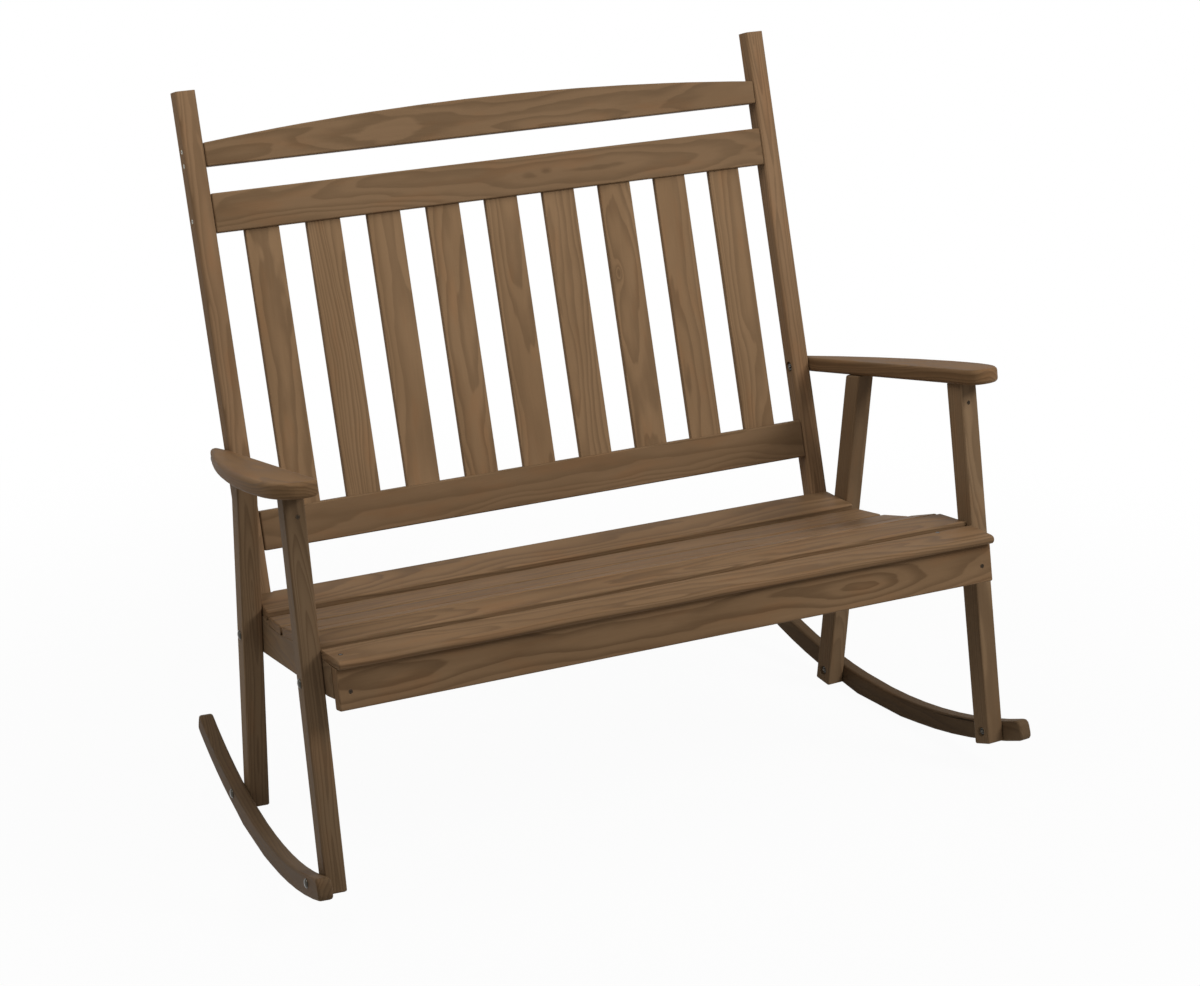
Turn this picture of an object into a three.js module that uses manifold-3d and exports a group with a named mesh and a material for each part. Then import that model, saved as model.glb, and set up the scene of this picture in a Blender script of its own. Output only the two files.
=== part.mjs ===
// Two-seat rocking bench in brown-stained softwood.
// Lengths are millimetres. X runs along the seat, +Y towards the back and +Z up.
// The bench is drawn standing upright, as its maker lays it out, and then leans back on its
// rockers to the place where it comes to rest. Its two side frames are toed out to the front.

import * as THREE from "three";
import * as BufferGeometryUtils from "three/addons/utils/BufferGeometryUtils.js";
import Module from "manifold-3d";

const wasm = await Module();
wasm.setup();

// How the bench stands
const leanAngle = THREE.MathUtils.degToRad(12.27);
const toeAngle = THREE.MathUtils.degToRad(6.4);
const backRake = THREE.MathUtils.degToRad(6.18);
const fitGap = 0.3;
const cutOverrun = 60;

// Back: two posts, three rails, nine slats
const backInsideWidth = 1021.3;
const postWidth = 34.2;
const postDepth = 30.8;
const hornLength = 85.2;
const postFootDepth = 59.1;
const postFootDrop = 58.5;
const postRounding = 6;
const backRailThickness = 27.4;
const lowerRailHeight = 64.3;
const lowerRailAbove = 154.9;
const upperRailHeight = 63.8;
const upperRailAbove = 671.8;
const crestGap = 43.7;
const crestEndHeight = 38.5;
const crestRise = 24;
const crestSteps = 24;
const backSlatCount = 9;
const backSlatWidth = 59.5;
const backSlatThickness = 10;
const backSlatEndGap = 49.7;
const backSlatSetback = 6.4;
const mortiseDepth = 14;

// Side frames: legs and rails, measured outwards from the plane of the legs' inner faces, which
// stands just outside the posts where it passes the middle of the bench
const sideFrameOffset = 6.5;
const legWidth = 33.5;
const legDepth = 36;
const frontLegFace = -318.5;
const rearLegFaceAtSeat = 20.2;
const rearLegRake = THREE.MathUtils.degToRad(15.98);
const footClearance = 3;
const sideRailThickness = 32;
const sideRailDropRear = 61;
const sideRailDropFront = 70.5;
const lapThickness = 16;

// Rockers, outside the legs
const rockerThickness = 24;
const rockerHeight = 35;
const soleRadius = 975;
const soleCentre = 8;
const rockerFrontReach = 366;
const rockerRearReach = 341;
const soleFlatFront = 50;
const soleFlatRear = 72;
const soleFacetsEachWay = 7;
const rockerEndRounding = 11;
const endRoundingSteps = 3;

// Seat: rear slat, four dished slats, bull-nosed front slat, apron and hidden centre support.
// Every drop, here and above, is measured down from the lowest place of the seat's top.
const slatThickness = 14.5;
const slatGap = 8.8;
const slatWidth = 66.3;
const rearSlatWidth = 75;
const frontSlatWidth = 69;
const seatRearEdge = 70.3;
const seatLowHeight = 364.5;
const seatRise = 30.3;
const seatHeightShares = [[1, 0.38], [0.17, 0.02], [0.02, 0.12], [0.17, 0.48], [0.51, 0.23], [0.06, -0.3]];
const slatEndClearance = 1;
const noseSteps = 6;
const apronThickness = 19;
const apronSetback = 15.5;
const apronDrop = 86.7;
const supportThickness = 32;
const supportDepth = 48;
const supportRearInset = 12;

// Armrests
const armUnderside = 604.3;
const armThickness = 25;
const armWidth = 103.35;
const armRearEnd = 147;
const armFrontEnd = -371;
const armRearWidth = 17;
const armFrontInset = 31;
const armFrontCorner = 44;
const armInnerCorner = 26;
const armBulgeDepth = -290;
const armTailTurn = THREE.MathUtils.degToRad(19.6);
const armBulgeShares = [0.275, 0.343];
const armInnerCornerShare = 0.125;
const armRounding = 6.5;
const armRoundingSteps = 3;
const outlineSteps = 10;

// Carriage bolts and nuts
const boltDiameter = 6.35;
const boltClearance = 0.35;
const boltHeadDiameter = 15.5;
const boltHeadHeight = 3.6;
const nutAcrossFlats = 11.1;
const nutHeight = 5.6;
const boltTail = 3;
const counterboreDiameter = 19;
const counterboreDepth = 8;
const legCounterboreDiameter = 17;
const legCounterboreDepth = 9;
const roundSides = 16;
const headRings = 3;
const hexagonSides = 6;
const seatBoltDropFront = 48;
const seatBoltDropRear = 27.5;
const backBoltDrop = 26.5;
const rockerBoltRise = 22;

// Finishes
const stainedWood = { color: "#6f5740", roughness: 0.55, metalness: 0 };
const darkWood = { color: "#5d4833", roughness: 0.6, metalness: 0 };
const paleWood = { color: "#7d634a", roughness: 0.5, metalness: 0 };
const zincSteel = { color: "#a9a79f", roughness: 0.35, metalness: 0.9 };

// A closed geometry as a solid that can be cut.
function solidOf(geometry) {
  const bare = geometry.clone();
  bare.deleteAttribute("normal");
  bare.deleteAttribute("uv");
  const merged = BufferGeometryUtils.mergeVertices(bare);
  const vertProperties = new Float32Array(merged.attributes.position.array);
  const triVerts = new Uint32Array(merged.index.array);
  return new wasm.Manifold(new wasm.Mesh({ numProp: 3, vertProperties, triVerts }));
}

function geometryOf(solid) {
  const mesh = solid.getMesh();
  const geometry = new THREE.BufferGeometry();
  geometry.setAttribute("position", new THREE.BufferAttribute(mesh.vertProperties, 3));
  geometry.setIndex(new THREE.BufferAttribute(mesh.triVerts, 1));
  geometry.computeVertexNormals();
  return geometry;
}

function cut(geometry, cutters) {
  let solid = solidOf(geometry);
  for (const cutter of cutters) solid = solid.subtract(solidOf(cutter));
  return geometryOf(solid);
}

function overlapOf(first, second) {
  return geometryOf(solidOf(first).intersect(solidOf(second)));
}

// The mirror image for the other side of the bench, with its faces turned out again.
function mirrored(geometry) {
  const copy = (geometry.index ? geometry.toNonIndexed() : geometry.clone()).scale(-1, 1, 1);
  const position = copy.attributes.position;
  const swapped = position.array.slice();
  for (let i = 0; i < position.count; i += 3) {
    for (let k = 0; k < 3; k += 1) {
      swapped[(i + 1) * 3 + k] = position.array[(i + 2) * 3 + k];
      swapped[(i + 2) * 3 + k] = position.array[(i + 1) * 3 + k];
    }
  }
  const flipped = new THREE.BufferGeometry();
  flipped.setAttribute("position", new THREE.BufferAttribute(swapped, 3));
  const merged = BufferGeometryUtils.mergeVertices(flipped);
  merged.computeVertexNormals();
  return merged;
}

// A board whose outline is drawn in depth and height, and which is as thick as from left to right.
function board(outline, left, right) {
  const shape = new THREE.Shape(outline.map(([depth, height]) => new THREE.Vector2(depth, height)));
  const geometry = new THREE.ExtrudeGeometry(shape, { depth: right - left, bevelEnabled: false });
  const depthAxis = new THREE.Vector3(0, 1, 0);
  const heightAxis = new THREE.Vector3(0, 0, 1);
  const widthAxis = new THREE.Vector3(1, 0, 0);
  geometry.applyMatrix4(new THREE.Matrix4().makeBasis(depthAxis, heightAxis, widthAxis));
  return geometry.translate(left, 0, 0);
}

function block([x0, y0, z0], [x1, y1, z1]) {
  const geometry = new THREE.BoxGeometry(x1 - x0, y1 - y0, z1 - z0);
  return geometry.translate((x0 + x1) / 2, (y0 + y1) / 2, (z0 + z1) / 2);
}

// A round bar along X, used for bolt shanks and for every hole.
function barAlongX(diameter, left, right) {
  const geometry = new THREE.CylinderGeometry(diameter / 2, diameter / 2, right - left, roundSides);
  return geometry.rotateZ(-Math.PI / 2).translate((left + right) / 2, 0, 0);
}

// Places that follow from the sizes above
const postFootHeight = seatLowHeight - postFootDrop;
const sideRailBottomRear = seatLowHeight - sideRailDropRear;
const sideRailBottomFront = seatLowHeight - sideRailDropFront;
const apronBottom = seatLowHeight - apronDrop;
const seatBoltHeightFront = seatLowHeight - seatBoltDropFront;
const seatBoltHeightRear = seatLowHeight - seatBoltDropRear;
const backBoltHeight = seatLowHeight - backBoltDrop;
const backSlatRun = backInsideWidth - 2 * backSlatEndGap - backSlatWidth;
const backSlatPitch = backSlatRun / (backSlatCount - 1);
const postInner = backInsideWidth / 2;
const postOuter = postInner + postWidth;
const crestAbove = upperRailAbove + upperRailHeight + crestGap;
const postLength = crestAbove + crestEndHeight + hornLength;
const sideFrameHalfWidth = postOuter + sideFrameOffset;
const frontSlatHalfLength = sideFrameHalfWidth - frontLegFace * Math.sin(toeAngle);
const armInner = postOuter + fitGap;
const armReach = armInner + armWidth;

// Frames of reference inside the upright bench
const sideFrame = new THREE.Matrix4()
  .makeRotationZ(toeAngle)
  .setPosition(sideFrameHalfWidth, 0, 0);
const backFrame = new THREE.Matrix4()
  .makeRotationX(-backRake)
  .setPosition(0, postFootDepth, postFootHeight);
const intoSide = sideFrame.clone().invert();

function fromBench(geometry) {
  return geometry.applyMatrix4(intoSide);
}

function fromBack(geometry) {
  return geometry.applyMatrix4(backFrame);
}

function toBack(geometry) {
  return geometry.applyMatrix4(backFrame.clone().invert());
}

// How far the side plane stands from the middle of the bench at a depth, and the other way round.
function sidePlaneAt(depth) {
  return sideFrameHalfWidth - Math.tan(toeAngle) * depth;
}

function alongSide(depth, outward) {
  return (depth - outward * Math.sin(toeAngle)) / Math.cos(toeAngle);
}

// The front face of the posts, as a depth at a height of the upright bench.
function postFaceAt(height) {
  return postFootDepth + (height - postFootHeight) * Math.tan(backRake);
}

// The rear leg's front face, as a place along the side frame at a height.
function rearLegFaceAt(height) {
  return rearLegFaceAtSeat + (seatLowHeight - height) * Math.tan(rearLegRake);
}

const rearLegSpan = legDepth / Math.cos(rearLegRake);
const rockerInner = legWidth + fitGap;
const rockerOuter = rockerInner + rockerThickness;

// Rockers are drawn level, so their frame undoes the lean of the bench within the side plane.
const rockerTurn = Math.atan(Math.cos(toeAngle) * Math.tan(leanAngle));

function fromLevel(along, height) {
  return [
    along * Math.cos(rockerTurn) - height * Math.sin(rockerTurn),
    along * Math.sin(rockerTurn) + height * Math.cos(rockerTurn),
  ];
}

// The height at which a line down a leg meets the arc of the feet, just above the rocker's sole.
function footHeight(alongAtZero, slope) {
  const [centreAlong, centreHeight] = fromLevel(soleCentre, soleRadius);
  const radius = soleRadius - footClearance;
  const offset = alongAtZero - centreAlong;
  const a = 1 + slope * slope;
  const b = offset * slope - centreHeight;
  const c = offset * offset + centreHeight * centreHeight - radius * radius;
  return (-b - Math.sqrt(b * b - a * c)) / a;
}

// Seat slats as sections in depth and height, rear one first. Each starts a gap before the last.
function seatSections() {
  const sections = [];
  let rear = seatRearEdge;
  seatHeightShares.forEach(([rearShare, frontShare], index) => {
    const last = index === seatHeightShares.length - 1;
    const middleOrLast = last ? frontSlatWidth : slatWidth;
    const width = index === 0 ? rearSlatWidth : middleOrLast;
    const front = rear - width;
    const rearTop = new THREE.Vector2(rear, seatLowHeight + rearShare * seatRise);
    const frontTop = new THREE.Vector2(front, seatLowHeight + frontShare * seatRise);
    const along = frontTop.clone().sub(rearTop).normalize();
    const down = new THREE.Vector2(-along.y, along.x).multiplyScalar(slatThickness);
    sections.push({ rearTop, frontTop, along, down });
    rear = front - slatGap;
  });
  return sections;
}

const sections = seatSections();
const frontSection = sections[sections.length - 1];
const seatFront = frontSection.frontTop.x;
const apronFront = seatFront + apronSetback;
const apronBack = apronFront + apronThickness;
const frontRailEnd = apronBack + fitGap;

// What the slats rest on: the line of their undersides, opened upwards to cut the rails with.
function seatBedCutter(left, right) {
  const line = [];
  for (const { rearTop, frontTop, down } of sections) {
    for (const corner of [rearTop, frontTop]) {
      line.push([corner.x + down.x, corner.y + down.y - fitGap]);
    }
  }
  const [rearDepth, rearHeight] = line[0];
  const [frontDepth, frontHeight] = line[line.length - 1];
  const top = rearHeight + cutOverrun;
  const outline = [[rearDepth + cutOverrun, top], [rearDepth + cutOverrun, rearHeight], ...line];
  outline.push([frontDepth - cutOverrun, frontHeight], [frontDepth - cutOverrun, top]);
  return board(outline, left, right);
}

// Bolt places, along the side frame and up
const frontLegCentre = frontLegFace + legDepth / 2;
function rearLegCentreAt(height) {
  return rearLegFaceAt(height) + rearLegSpan / 2;
}
const rockerBoltFront = [frontLegCentre, footHeight(frontLegCentre, 0) + rockerBoltRise];
const rearFoot = footHeight(rearLegCentreAt(0), -Math.tan(rearLegRake));
const rockerBoltRearHeight = rearFoot + rockerBoltRise;
const rockerBoltRear = [rearLegCentreAt(rockerBoltRearHeight), rockerBoltRearHeight];
const seatBoltFront = [frontLegCentre, seatBoltHeightFront];
const seatBoltRear = [rearLegCentreAt(seatBoltHeightRear), seatBoltHeightRear];
const postCentreAtBolt = postFaceAt(backBoltHeight) + postDepth / 2;
const backBolt = [alongSide(postCentreAtBolt, -lapThickness), backBoltHeight];
const postNutSeat = -postWidth - fitGap + counterboreDepth / 2;
const armBoltHeight = armUnderside + armThickness / 2;
const armBoltDepth = postFaceAt(armBoltHeight) + postDepth / 2;

function hole([along, height], left, right, diameter = boltDiameter + 2 * boltClearance) {
  return barAlongX(diameter, left, right).translate(0, along, height);
}

// Legs stand beside the rockers, their feet just clear of the ground, and carry the arms.
function legOutline(faceAt, span, slope) {
  const top = armUnderside - fitGap;
  const frontFoot = footHeight(faceAt(0), slope);
  const rearFootHeight = footHeight(faceAt(0) + span, slope);
  return [
    [faceAt(frontFoot), frontFoot],
    [faceAt(rearFootHeight) + span, rearFootHeight],
    [faceAt(top) + span, top],
    [faceAt(top), top],
  ];
}

// Each leg is bored for two bolts. The nut of the lower one is let in on the inside.
function boredLeg(outline, rockerBolt, seatBolt) {
  const holes = [rockerBolt, seatBolt].map((place) => hole(place, -cutOverrun, cutOverrun));
  const nutHole = hole(rockerBolt, -cutOverrun, legCounterboreDepth, legCounterboreDiameter);
  return cut(board(outline, 0, legWidth), [...holes, nutHole]);
}

function makeFrontLeg() {
  const outline = legOutline(() => frontLegFace, legDepth, 0);
  return boredLeg(outline, rockerBoltFront, seatBoltFront);
}

function makeRearLeg() {
  const outline = legOutline(rearLegFaceAt, rearLegSpan, -Math.tan(rearLegRake));
  return boredLeg(outline, rockerBoltRear, seatBoltRear);
}

// A quarter turn round a corner of an outline, from one edge to the next.
function roundedCorner(before, corner, after, radius) {
  const point = new THREE.Vector2(...corner);
  const start = new THREE.Vector2(...before).sub(point).setLength(radius).add(point);
  const end = new THREE.Vector2(...after).sub(point).setLength(radius).add(point);
  const curve = new THREE.QuadraticBezierCurve(start, point, end);
  return curve.getPoints(endRoundingSteps).map(({ x, y }) => [x, y]);
}

// Even steps from one turn about the middle of the sole's arc to another.
function turnsBetween(from, to) {
  const turns = [];
  for (let i = 0; i <= soleFacetsEachWay; i += 1) {
    turns.push(from + ((to - from) * i) / soleFacetsEachWay);
  }
  return turns;
}

// The rocker, drawn level. Its sole has one long level facet, on which the bench stands, and is
// bevelled across, so that it lies flat on the ground although the side frame is toed out. The
// top runs along with the sole and the ends are cut square to the arc.
function makeRocker() {
  const frontTurn = Math.asin(rockerFrontReach / soleRadius);
  const rearTurn = Math.asin(rockerRearReach / soleRadius);
  const flatFrontTurn = Math.atan(soleFlatFront / soleRadius);
  const flatRearTurn = Math.atan(soleFlatRear / soleRadius);
  const front = turnsBetween(-frontTurn, -flatFrontTurn);
  const rear = turnsBetween(flatRearTurn, rearTurn);
  const place = (turn, radius) => [
    soleCentre + radius * Math.sin(turn),
    soleRadius - radius * Math.cos(turn),
  ];
  const sole = [
    ...front.slice(0, -1).map((turn) => place(turn, soleRadius)),
    place(-flatFrontTurn, soleRadius / Math.cos(flatFrontTurn)),
    place(flatRearTurn, soleRadius / Math.cos(flatRearTurn)),
    ...rear.slice(1).map((turn) => place(turn, soleRadius)),
  ];
  const top = [...front, 0, ...rear].map((turn) => place(turn, soleRadius - rockerHeight)).reverse();
  const outline = [];
  for (const [edge, next] of [[sole, top], [top, sole]]) {
    const last = edge.length - 1;
    const before = next[next.length - 1];
    outline.push(...roundedCorner(before, edge[0], edge[1], rockerEndRounding));
    outline.push(...edge.slice(1, last));
    outline.push(...roundedCorner(edge[last - 1], edge[last], next[0], rockerEndRounding));
  }
  const blank = board(outline, rockerInner, rockerOuter);
  const bevel = Math.sin(toeAngle) * Math.tan(leanAngle) * Math.cos(rockerTurn);
  blank.applyMatrix4(new THREE.Matrix4().makeShear(0, bevel, 0, 0, 0, 0));
  blank.rotateX(rockerTurn);
  const holes = [rockerBoltFront, rockerBoltRear];
  return cut(blank, holes.map((place) => hole(place, -cutOverrun, rockerOuter + cutOverrun)));
}

// The side rail: dished under the slats, cut off square behind the apron, half-lapped to the post.
function makeSideRail() {
  const rearEnd = alongSide(postFaceAt(backBoltHeight) + postDepth, 0);
  const frontEnd = alongSide(frontRailEnd, 0) - cutOverrun;
  const rise = (sideRailBottomRear - sideRailBottomFront) / (rearEnd - alongSide(frontRailEnd, 0));
  const frontBottom = sideRailBottomRear - rise * (rearEnd - frontEnd);
  const top = seatLowHeight + seatRise;
  const outline = [[frontEnd, frontBottom], [rearEnd, sideRailBottomRear], [rearEnd, top], [frontEnd, top]];
  const blank = board(outline, -sideRailThickness, -fitGap);
  const wide = sidePlaneAt(seatFront) + cutOverrun;
  const low = sideRailBottomFront - 2 * cutOverrun;
  const legFront = frontLegFace * Math.cos(toeAngle) - fitGap;
  const bed = seatBedCutter(0, wide);
  const ahead = block([0, seatFront - 2 * cutOverrun, low], [wide, frontRailEnd, top]);
  const outside = block([frontSlatHalfLength, seatFront - 2 * cutOverrun, low], [wide, legFront, top]);
  const behindPostFace = fromBack(block([0, -fitGap, -postLength], [wide, postDepth + cutOverrun, postLength]));
  const innerHalf = block([-wide, -wide, low], [-lapThickness, wide, top]);
  const lap = overlapOf(innerHalf, fromBench(behindPostFace));
  const holes = [seatBoltFront, seatBoltRear, backBolt];
  return cut(blank, [
    fromBench(bed),
    fromBench(ahead),
    fromBench(outside),
    lap,
    ...holes.map((place) => hole(place, -cutOverrun, cutOverrun)),
  ]);
}

// A rounded rectangle for the section of a post.
function roundedSection(width, depth, radius) {
  const shape = new THREE.Shape();
  shape.moveTo(radius, 0);
  shape.lineTo(width - radius, 0);
  shape.absarc(width - radius, radius, radius, -Math.PI / 2, 0, false);
  shape.lineTo(width, depth - radius);
  shape.absarc(width - radius, depth - radius, radius, 0, Math.PI / 2, false);
  shape.lineTo(radius, depth);
  shape.absarc(radius, depth - radius, radius, Math.PI / 2, Math.PI, false);
  shape.lineTo(0, radius);
  shape.absarc(radius, radius, radius, Math.PI, 1.5 * Math.PI, false);
  return shape;
}

// The right back post, in the frame of the back. Its foot is halved on the outside over the rail.
function makePost() {
  const section = roundedSection(postWidth, postDepth, postRounding);
  const options = { depth: postLength, bevelEnabled: false, curveSegments: endRoundingSteps };
  const blank = new THREE.ExtrudeGeometry(section, options).translate(postInner, 0, 0);
  const railTop = sections[0].rearTop.y + sections[0].down.y;
  const low = postFootHeight - 2 * cutOverrun;
  const tongue = block([-lapThickness - fitGap, -cutOverrun, low], [cutOverrun, 3 * cutOverrun, railTop]);
  const boltHole = hole(backBolt, -2 * cutOverrun, cutOverrun);
  const wideHole = hole(backBolt, -2 * cutOverrun, postNutSeat, counterboreDiameter);
  const inBench = [tongue, boltHole, wideHole].map((cutter) => cutter.applyMatrix4(sideFrame));
  const armHole = hole([armBoltDepth, armBoltHeight], 0, postOuter + cutOverrun);
  const armNutHole = hole(
    [armBoltDepth, armBoltHeight],
    postInner - cutOverrun,
    postInner + counterboreDepth,
    counterboreDiameter,
  );
  return cut(blank, [...inBench, armHole, armNutHole].map(toBack));
}

const railHalfLength = postInner - fitGap;

function slatCentre(index) {
  return (index - (backSlatCount - 1) / 2) * backSlatPitch;
}

// Housings for the ends of the back slats, between two heights above the foot of the posts.
function slatHousings(from, to) {
  const housings = [];
  for (let i = 0; i < backSlatCount; i += 1) {
    const left = slatCentre(i) - backSlatWidth / 2 - fitGap;
    const right = slatCentre(i) + backSlatWidth / 2 + fitGap;
    const front = backSlatSetback - fitGap;
    const rear = backSlatSetback + backSlatThickness + fitGap;
    housings.push(block([left, front, from], [right, rear, to]));
  }
  return housings;
}

function makeBackRail(bottom, height, housingFrom, housingTo) {
  const blank = block([-railHalfLength, 0, bottom], [railHalfLength, backRailThickness, bottom + height]);
  return cut(blank, slatHousings(housingFrom, housingTo));
}

function makeCrestRail() {
  const radius = (railHalfLength * railHalfLength + crestRise * crestRise) / (2 * crestRise);
  const centre = crestAbove + crestEndHeight + crestRise - radius;
  const points = [new THREE.Vector2(-railHalfLength, crestAbove), new THREE.Vector2(railHalfLength, crestAbove)];
  for (let i = 0; i <= crestSteps; i += 1) {
    const x = railHalfLength - (2 * railHalfLength * i) / crestSteps;
    points.push(new THREE.Vector2(x, centre + Math.sqrt(radius * radius - x * x)));
  }
  const options = { depth: backRailThickness, bevelEnabled: false };
  const geometry = new THREE.ExtrudeGeometry(new THREE.Shape(points), options);
  return geometry.rotateX(Math.PI / 2).translate(0, backRailThickness, 0);
}

const lowerRailTop = lowerRailAbove + lowerRailHeight;
const backSlatBottom = lowerRailTop - mortiseDepth + fitGap;
const backSlatTop = upperRailAbove + mortiseDepth - fitGap;

function makeBackSlat(index) {
  const centre = slatCentre(index);
  return block(
    [centre - backSlatWidth / 2, backSlatSetback, backSlatBottom],
    [centre + backSlatWidth / 2, backSlatSetback + backSlatThickness, backSlatTop],
  );
}

// A seat slat. Its ends follow the side frames, the rear one is notched round the posts, and the
// front one has a half-round nose.
function makeSeatSlat(index) {
  const { rearTop, frontTop, along, down } = sections[index];
  const isFront = index === sections.length - 1;
  const outline = [rearTop.clone()];
  if (isFront) {
    const radius = slatThickness / 2;
    const centre = frontTop.clone().addScaledVector(along, -radius).addScaledVector(down, 1 / 2);
    const upright = down.clone().setLength(-radius);
    const ahead = along.clone().setLength(radius);
    for (let i = 0; i <= noseSteps; i += 1) {
      const turn = (Math.PI * i) / noseSteps;
      const point = centre.clone().addScaledVector(upright, Math.cos(turn));
      outline.push(point.addScaledVector(ahead, Math.sin(turn)));
    }
  } else {
    outline.push(frontTop.clone(), frontTop.clone().add(down));
  }
  outline.push(rearTop.clone().add(down));
  const reach = isFront ? frontSlatHalfLength : sidePlaneAt(frontTop.x) + cutOverrun;
  const blank = board(outline.map(({ x, y }) => [x, y]).reverse(), -reach, reach);
  const low = rearTop.y - 2 * cutOverrun;
  const high = rearTop.y + 2 * cutOverrun;
  const legFront = frontLegFace - fitGap;
  const outside = block([-slatEndClearance, legFront, low], [postLength, postLength, high]);
  outside.applyMatrix4(sideFrame);
  const post = fromBack(block(
    [postInner - fitGap, -fitGap, -cutOverrun],
    [postOuter + cutOverrun, postDepth + cutOverrun, postLength],
  ));
  return cut(blank, [outside, mirrored(outside), post, mirrored(post)]);
}

function makeApron() {
  const underside = frontSection.frontTop.clone().add(frontSection.down);
  const slope = frontSection.along.y / frontSection.along.x;
  const topAt = (depth) => underside.y + (depth - underside.x) * slope - fitGap;
  const outline = [
    [apronFront, apronBottom],
    [apronBack, apronBottom],
    [apronBack, topAt(apronBack)],
    [apronFront, topAt(apronFront)],
  ];
  return board(outline, -frontSlatHalfLength, frontSlatHalfLength);
}

function makeCentreSupport() {
  const rear = seatRearEdge - supportRearInset;
  const top = seatLowHeight + seatRise;
  const bottom = seatLowHeight - slatThickness - supportDepth;
  const half = supportThickness / 2;
  const outline = [[frontRailEnd, bottom], [rear, bottom], [rear, top], [frontRailEnd, top]];
  return cut(board(outline, -half, half), [seatBedCutter(-half - fitGap, half + fitGap)]);
}

// The outline of the right arm from above: flat along the post, then straight out to the front,
// round the hand end and back along the bulging outer edge.
function armOutline() {
  const postFront = postFaceAt(armUnderside) - fitGap;
  const frontInner = armInner + armFrontInset;
  const tailRadius = armRearWidth / 2;
  const tail = new THREE.Vector2(armInner + tailRadius, armRearEnd - tailRadius);
  const shape = new THREE.Shape();
  shape.moveTo(armInner, tail.y);
  shape.lineTo(armInner, postFront);
  shape.lineTo(frontInner, armFrontEnd + armInnerCorner);
  const innerTurn = frontInner + armInnerCorner;
  const innerPull = frontInner + armInnerCornerShare * armInnerCorner;
  shape.quadraticCurveTo(innerPull, armFrontEnd, innerTurn, armFrontEnd);
  shape.lineTo(Math.max(armReach - armFrontCorner, innerTurn), armFrontEnd);
  shape.quadraticCurveTo(armReach, armFrontEnd, armReach, armBulgeDepth);
  const bulgeLength = armRearEnd - armBulgeDepth;
  const outward = new THREE.Vector2(Math.cos(armTailTurn), Math.sin(armTailTurn));
  const forward = new THREE.Vector2(outward.y, -outward.x);
  const tailStart = tail.clone().addScaledVector(outward, tailRadius);
  const pull = tailStart.clone().addScaledVector(forward, armBulgeShares[1] * bulgeLength);
  const reachPull = armBulgeDepth + armBulgeShares[0] * bulgeLength;
  shape.bezierCurveTo(armReach, reachPull, pull.x, pull.y, tailStart.x, tailStart.y);
  shape.absarc(tail.x, tail.y, tailRadius, armTailTurn, Math.PI, false);
  return shape;
}

// The outer edge of the arm beside the post, where the bolt head is let in.
function armEdgeAt(depth) {
  const points = armOutline().getPoints(outlineSteps);
  let reach = postOuter;
  for (let i = 1; i < points.length; i += 1) {
    const [from, to] = [points[i - 1], points[i]];
    const crosses = (from.y - depth) * (to.y - depth) <= 0 && from.y !== to.y;
    if (crosses) {
      reach = Math.max(reach, from.x + ((to.x - from.x) * (depth - from.y)) / (to.y - from.y));
    }
  }
  return reach;
}

const armBoltSeat = armEdgeAt(armBoltDepth + counterboreDiameter / 2) - fitGap;

function makeArm() {
  const options = {
    depth: armThickness - 2 * armRounding,
    bevelThickness: armRounding,
    bevelSize: armRounding,
    bevelOffset: -armRounding,
    bevelSegments: armRoundingSteps,
    curveSegments: outlineSteps,
  };
  const blank = new THREE.ExtrudeGeometry(armOutline(), options);
  blank.translate(0, 0, armUnderside + armRounding);
  const place = [armBoltDepth, armBoltHeight];
  const boltHole = hole(place, postInner, armBoltSeat + cutOverrun);
  const headSeat = hole(place, armBoltSeat, armBoltSeat + cutOverrun, counterboreDiameter);
  return cut(blank, [boltHole, headSeat]);
}

// A carriage bolt along X: domed head outside, its underside at X = 0, shank towards -X.
function makeBolt(shankLength) {
  const shank = boltDiameter / 2;
  const profile = [new THREE.Vector2(0, -shankLength), new THREE.Vector2(shank, -shankLength)];
  profile.push(new THREE.Vector2(shank, 0));
  for (let i = 0; i <= headRings; i += 1) {
    const turn = (Math.PI / 2) * (i / headRings);
    const across = (boltHeadDiameter / 2) * Math.cos(turn);
    profile.push(new THREE.Vector2(i === headRings ? 0 : across, boltHeadHeight * Math.sin(turn)));
  }
  return new THREE.LatheGeometry(profile, roundSides).rotateZ(-Math.PI / 2);
}

// A hexagon nut along X, its bearing face at X = 0, the rest towards -X.
function makeNut() {
  const corner = nutAcrossFlats / Math.sqrt(3);
  const points = [];
  for (let i = 0; i < hexagonSides; i += 1) {
    const turn = (2 * Math.PI * i) / hexagonSides;
    points.push(new THREE.Vector2(corner * Math.cos(turn), corner * Math.sin(turn)));
  }
  const shape = new THREE.Shape(points);
  const bore = new THREE.Path();
  bore.absarc(0, 0, boltDiameter / 2 + boltClearance, 0, 2 * Math.PI, true);
  shape.holes.push(bore);
  const options = { depth: nutHeight, bevelEnabled: false, curveSegments: roundSides / 2 };
  return new THREE.ExtrudeGeometry(shape, options).rotateY(-Math.PI / 2);
}

function addMesh(group, name, geometry, finish) {
  const material = new THREE.MeshStandardMaterial({ ...finish, flatShading: true });
  const mesh = new THREE.Mesh(geometry, material);
  mesh.name = name;
  group.add(mesh);
  return mesh;
}

// A bolt and its nut: the head bears at one place across the frame and the nut at another.
function addBolt(group, side, name, [along, height], headAt, nutAt) {
  const shankLength = headAt - nutAt + nutHeight + boltTail;
  const bolt = makeBolt(shankLength).translate(headAt + fitGap, along, height);
  const nut = makeNut().translate(nutAt - fitGap, along, height);
  const turned = side === "left" ? [mirrored(bolt), mirrored(nut)] : [bolt, nut];
  addMesh(group, `${name}_bolt_${side}`, turned[0], zincSteel);
  addMesh(group, `${name}_nut_${side}`, turned[1], zincSteel);
}

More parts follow.
